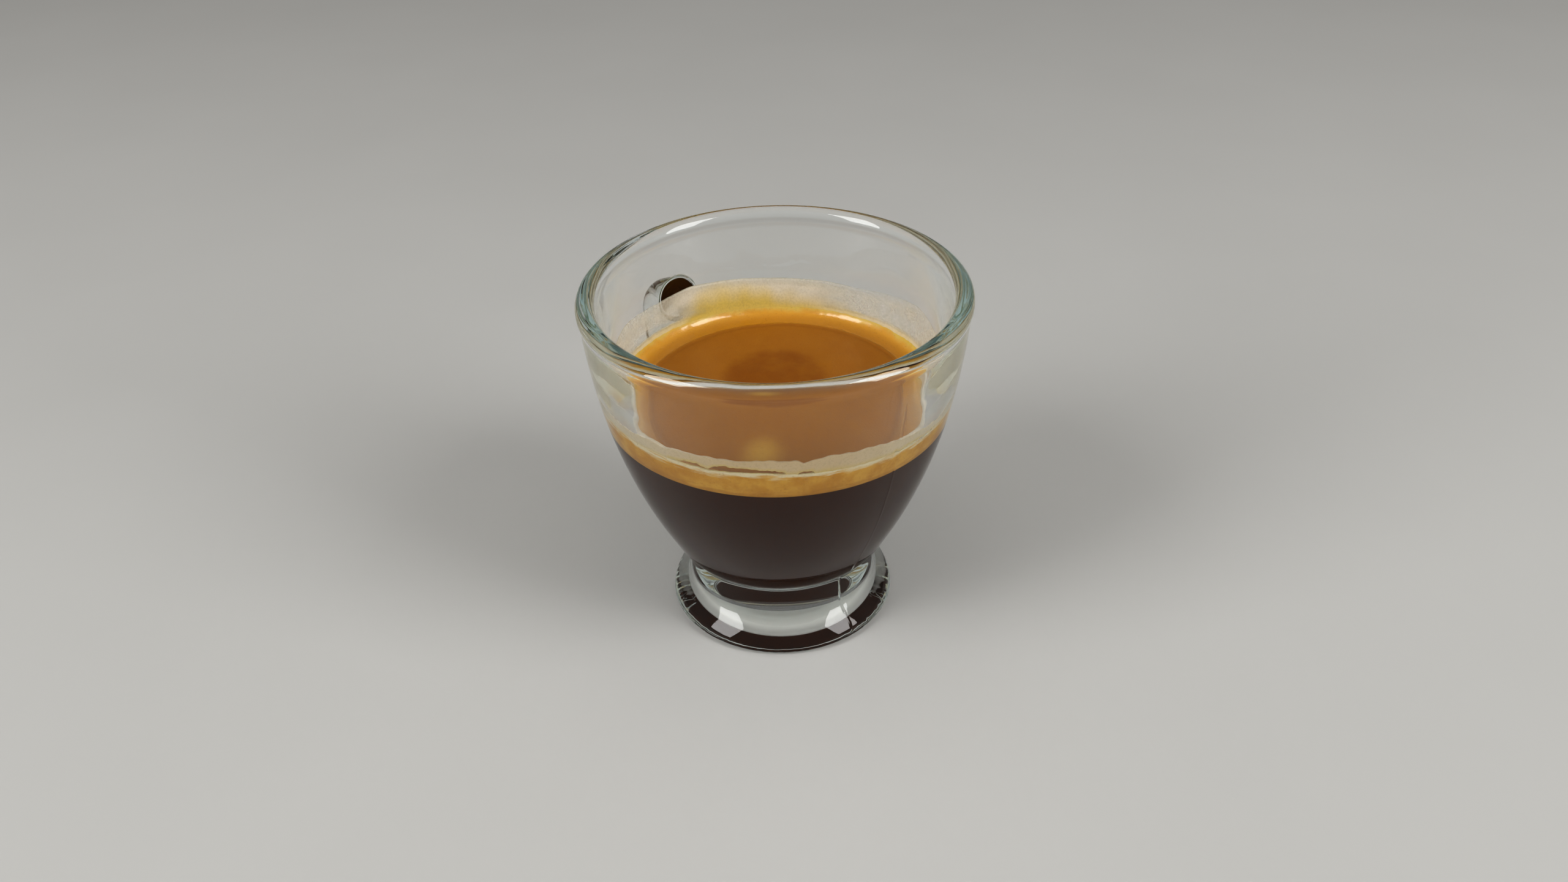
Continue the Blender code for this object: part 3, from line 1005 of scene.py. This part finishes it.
def make_crema():
    """The crema, level in the middle with a thin ridge round it, and climbing the wall."""
    points = [(0.0, 0.0, CREMA_BASE)]
    rise = [0.0]
    wall = [0.0]
    pale = [0.0]
    columns = []
    for side in range(RING_SIDES):
        azimuth = -180.0 + 360.0 * side / RING_SIDES
        along, across = on_ring(azimuth)
        columns.append(len(points))
        outline = crema_outline(azimuth)
        paleness = toward_back(azimuth, BEAD_TURNS) - toward_back(azimuth, PALE_ENDS)
        for radius, height, share, on_wall in outline:
            place = (radius * along, radius * across, height)
            if not on_wall:
                height += ripple(place, CREMA_BUMPS) + ripple(place, CREMA_SWELLS)
            points.append((place[0], place[1], height))
            rise.append(share)
            wall.append(on_wall)
            pale.append(paleness)
    points.append((0.0, 0.0, CREMA_SURFACE))
    rise.append(0.0)
    wall.append(0.0)
    pale.append(0.0)
    rings = [[0]]
    rings += [[first + step for first in columns] for step in range(len(outline))]
    rings.append([len(points) - 1])
    crema = add_mesh("crema_body", points, ring_faces(rings))
    add_values(crema, rise=rise, wall=wall, pale=pale)
    face_outward(crema)
    smooth(crema, FOAM_CREASE)
    crema.data.materials.append(crema_material())
    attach(crema, "root")
    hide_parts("crema")


# Points up the foam, as shares of its height
FOAM_SHARES = (0.0, 0.03, 0.08, 0.13, 0.18, 0.25, 0.31, 0.38, 0.5, 0.62, 0.74, 0.85, 0.93, 0.98, 1.0)
BEAD_THICKNESS = 0.6
FILM_THICKNESS = 0.09
LEAST_FOAM_HEIGHT = 0.3
FOAM_WALL_SHARE = 0.8
# Roundness of the foam's free side
FOAM_FLATNESS = 3
FOAM_BULGE = 0.5
# How the foam's veil passes from low to high, where its top fades, and its patches
VEIL_TURNS = (0.3, 0.6)
VEIL_TOP = (0.72, 1.0)
VEIL_FOOT = (0.12, 0.30)
LEAST_VEIL = 0.03
VEIL_PATCHES = (0.16, 2.2, 13.0)
VEIL_STREAKS = (0.12, 7.0, 16.0)
VEIL_STREAK_LEVEL = 9.0
# How the foam loses its warmth up the wall, and its patches
WARMTH_LOSS = 1.6
WARM_PATCHES = (0.2, 3.0, 17.0)


def foam_veil(azimuth, height, share):
    """How much the foam hides at a place: 1 for thick foam, little for a thin film."""
    upper = smooth_step(*VEIL_TURNS, share)
    veil = around(VEIL_LOW, azimuth) * (1 - upper) + around(VEIL_HIGH, azimuth) * upper
    loose = min(1.0, 4 * veil * (1.0 - veil))
    veil += loose * wall_ripple(azimuth, VEIL_PATCHES, height)
    veil += loose * wall_ripple(azimuth, VEIL_STREAKS, VEIL_STREAK_LEVEL * height)
    veil *= 1.0 - around(VEIL_FADE, azimuth) * smooth_step(*VEIL_TOP, share)
    from_crema = 1.0 - smooth_step(*VEIL_FOOT, share)
    return min(max(veil, from_crema, LEAST_VEIL), 1.0)


def foam_offset(share, thickness):
    """How far the foam's free side stands off the wall."""
    return -thickness * (1 - abs(2 * share - 1) ** FOAM_FLATNESS) ** FOAM_BULGE


def make_foam():
    """The pale foam that clings to the wall above the crema, a bead in front and a film behind."""
    points = []
    columns = []
    veil = []
    warmth = []
    for side in range(RING_SIDES):
        azimuth = -180.0 + 360.0 * side / RING_SIDES
        along, across = on_ring(azimuth)
        low = foam_foot(azimuth)
        high = max(foam_top(azimuth), low + LEAST_FOAM_HEIGHT)
        front = 1.0 - toward_back(azimuth, BEAD_TURNS)
        thickness = FILM_THICKNESS + (BEAD_THICKNESS - FILM_THICKNESS) * front
        columns.append(len(points))
        section = [(share, WALL_OVERLAP * FOAM_WALL_SHARE) for share in FOAM_SHARES]
        section += [(share, foam_offset(share, thickness)) for share in FOAM_SHARES[-2:0:-1]]
        for share, offset in section:
            height = low + (high - low) * share
            radius = inner_radius(height) + offset
            points.append((radius * along, radius * across, height))
            veil.append(foam_veil(azimuth, height, share))
            warm = around(WARMTH, azimuth) - WARMTH_LOSS * share
            warm += wall_ripple(azimuth, WARM_PATCHES, height)
            warmth.append(min(max(warm, 0.0), 1.0))
    length = 2 * len(FOAM_SHARES) - 2
    faces = []
    for first, second in zip(columns, columns[1:] + columns[:1]):
        for step in range(length):
            after = (step + 1) % length
            faces.append((first + step, second + step, second + after, first + after))
    foam = add_mesh("foam_on_the_wall", points, faces)
    add_values(foam, veil=veil, warmth=warmth)
    face_outward(foam)
    smooth(foam, FOAM_CREASE)
    foam.data.materials.append(foam_material())
    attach(foam, "root")


# The stage

# Size of the table and how far it lies under the foot, in metres
FLOOR_SIZE = 6.0
FLOOR_DROP = 0.00003
TABLE_CLOUDS = (60.0, 3.0)
TABLE_GREY = (0.478, 0.475, 0.460)
TABLE_PALE_GREY = (0.500, 0.497, 0.482)
TABLE_ROUGHNESS = 0.55
TABLE_GLOSS = 0.3
# The pool of light painted onto the table right under the foot, and the distances from the axis over
# which it ends
PAINTED_LIGHT_GREY = (0.88, 0.875, 0.85)
PAINTED_LIGHT_END = (12.5, 15.0)

# Softboxes: azimuths, elevation, distance, how much higher they stand, size in metres, and power
SOFTBOX_SIDES = {"softbox_left": -62.0, "softbox_right": 62.0}
SOFTBOX_ELEVATION = 30.0
SOFTBOX_DISTANCE = 0.9
SOFTBOX_LIFT = 0.03
SOFTBOX_WIDTH = 0.36
SOFTBOX_HEIGHT = 0.8
SOFTBOX_WATTS = 6.0

# The room's brightness in front and behind, how far its light side leans up, and where it changes
ROOM_COLOUR = (1.0, 0.98, 0.955)
ROOM_LIGHT = 0.48
ROOM_DIM = 0.15
ROOM_LEAN = 10.0
ROOM_DIM_FROM = -0.55
ROOM_LIGHT_FROM = 0.0
# What is added to the room's brightness, as a share of it, for what is lit through glass
LIGHT_THROUGH_GLASS = 2.4
# A path has met a matt surface when its count of matt bounces is above this
MET_MATT = 0.5

EXPOSURE = -0.36
GLASS_BOUNCES = 32


def toward(azimuth, elevation):
    """Unit direction from the cup, by azimuth from the camera's side and elevation."""
    polar = math.radians(VIEW_SIDE + azimuth)
    up = math.radians(elevation)
    return Vector((math.cos(polar) * math.cos(up), math.sin(polar) * math.cos(up), math.sin(up)))


def make_floor():
    """Plain pale grey table, with a pool of light painted right under the foot for the light that the
    hollow foot gathers.
    """
    place = (CUP_PLACE.x, CUP_PLACE.y, -FLOOR_DROP)
    bpy.ops.mesh.primitive_plane_add(size=FLOOR_SIZE, location=place)
    floor = bpy.context.object
    floor.name = "floor"
    nodes = Surface("table")
    colour = nodes.blend(nodes.noise(*TABLE_CLOUDS), TABLE_GREY, TABLE_PALE_GREY)
    # Painted light: the table is made lighter under the foot, in place of light gathered by the glass
    outside = nodes.ramp(nodes.distance(0.0, 0.0, 0.0), *PAINTED_LIGHT_END)
    colour = nodes.blend(outside, PAINTED_LIGHT_GREY, colour)
    nodes.put(Base_Color=colour, Roughness=TABLE_ROUGHNESS, Specular_IOR_Level=TABLE_GLOSS)
    floor.data.materials.append(nodes.material)


def make_softboxes():
    """Two tall softboxes in front, left and right, which face the cup.

    Glass mirrors them but doesn't show them through itself, nor lets their light through.
    """
    for name, azimuth in SOFTBOX_SIDES.items():
        lamp = bpy.data.lights.new(name, "AREA")
        lamp.shape = "RECTANGLE"
        lamp.size = SOFTBOX_WIDTH
        lamp.size_y = SOFTBOX_HEIGHT
        lamp.energy = SOFTBOX_WATTS
        item = bpy.data.objects.new(name, lamp)
        direction = toward(azimuth, SOFTBOX_ELEVATION)
        item.location = CUP_PLACE + direction * SOFTBOX_DISTANCE + Vector((0, 0, SOFTBOX_LIFT))
        item.rotation_euler = direction.to_track_quat("Z", "Y").to_euler()
        item.visible_camera = False
        item.visible_transmission = False
        bpy.context.scene.collection.objects.link(item)


def make_room():
    """A grey room that is dim behind the cup.

    Matt surfaces that are lit through glass get more of its light, in place of the softboxes' light,
    which doesn't reach them there. How much more is a given share.
    """
    world = bpy.data.worlds.new("room")
    world.use_nodes = True
    nodes = Nodes(world.node_tree)
    facing = nodes.add("ShaderNodeVectorMath", operation="DOT_PRODUCT")
    facing.inputs[1].default_value = toward(0.0, ROOM_LEAN)
    nodes.link(nodes.add("ShaderNodeTexCoord").outputs["Generated"], facing.inputs[0])
    ends = (ROOM_DIM_FROM, ROOM_LIGHT_FROM, ROOM_DIM, ROOM_LIGHT)
    brightness = nodes.ramp(facing.outputs["Value"], *ends, kind="LINEAR")
    path = nodes.add("ShaderNodeLightPath")
    after_matt = nodes.maths("GREATER_THAN", path.outputs["Diffuse Depth"], MET_MATT)
    lit_through = nodes.maths("MULTIPLY", after_matt, path.outputs["Is Transmission Ray"])
    added = nodes.maths("MULTIPLY", lit_through, LIGHT_THROUGH_GLASS)
    strength = nodes.maths("MULTIPLY", brightness, nodes.maths("ADD", added, 1.0))
    background = nodes.tree.nodes["Background"]
    background.inputs["Color"].default_value = (*ROOM_COLOUR, 1.0)
    nodes.link(strength, background.inputs["Strength"])
    bpy.context.scene.world = world


def set_view():
    """Exposure and contrast of the picture, and enough bounces for the glass."""
    view = bpy.context.scene.view_settings
    view.view_transform = "Standard"
    view.look = "High Contrast"
    view.exposure = EXPOSURE
    light_paths = bpy.context.scene.cycles
    light_paths.blur_glossy = 0.0
    light_paths.max_bounces = GLASS_BOUNCES
    light_paths.glossy_bounces = GLASS_BOUNCES
    light_paths.transmission_bounces = GLASS_BOUNCES


CAMERA_PLACE = Vector((-0.1423, 0.1080, 0.1560))
CAMERA_RIGHT = Vector((-0.6196, -0.7846, -0.0203))
CAMERA_UP = Vector((0.4364, -0.3659, 0.8220))
LENS = 28.125
SENSOR_WIDTH = 36.0
CLIP_START = 0.01


def make_camera():
    """Camera at the photograph's place, without shift or blur."""
    data = bpy.data.cameras.new("camera")
    data.lens = LENS
    data.sensor_width = SENSOR_WIDTH
    data.clip_start = CLIP_START
    camera = bpy.data.objects.new("camera", data)
    right = CAMERA_RIGHT.normalized()
    back = right.cross(CAMERA_UP).normalized()
    up = back.cross(right)
    turn = Matrix((right, up, back)).transposed()
    camera.matrix_world = Matrix.Translation(CUP_PLACE + CAMERA_PLACE) @ turn.to_4x4()
    bpy.context.scene.collection.objects.link(camera)
    bpy.context.scene.camera = camera


make_camera()
make_softboxes()
make_room()
set_view()
make_floor()
make_cup()
make_coffee()
make_crema()
make_foam()
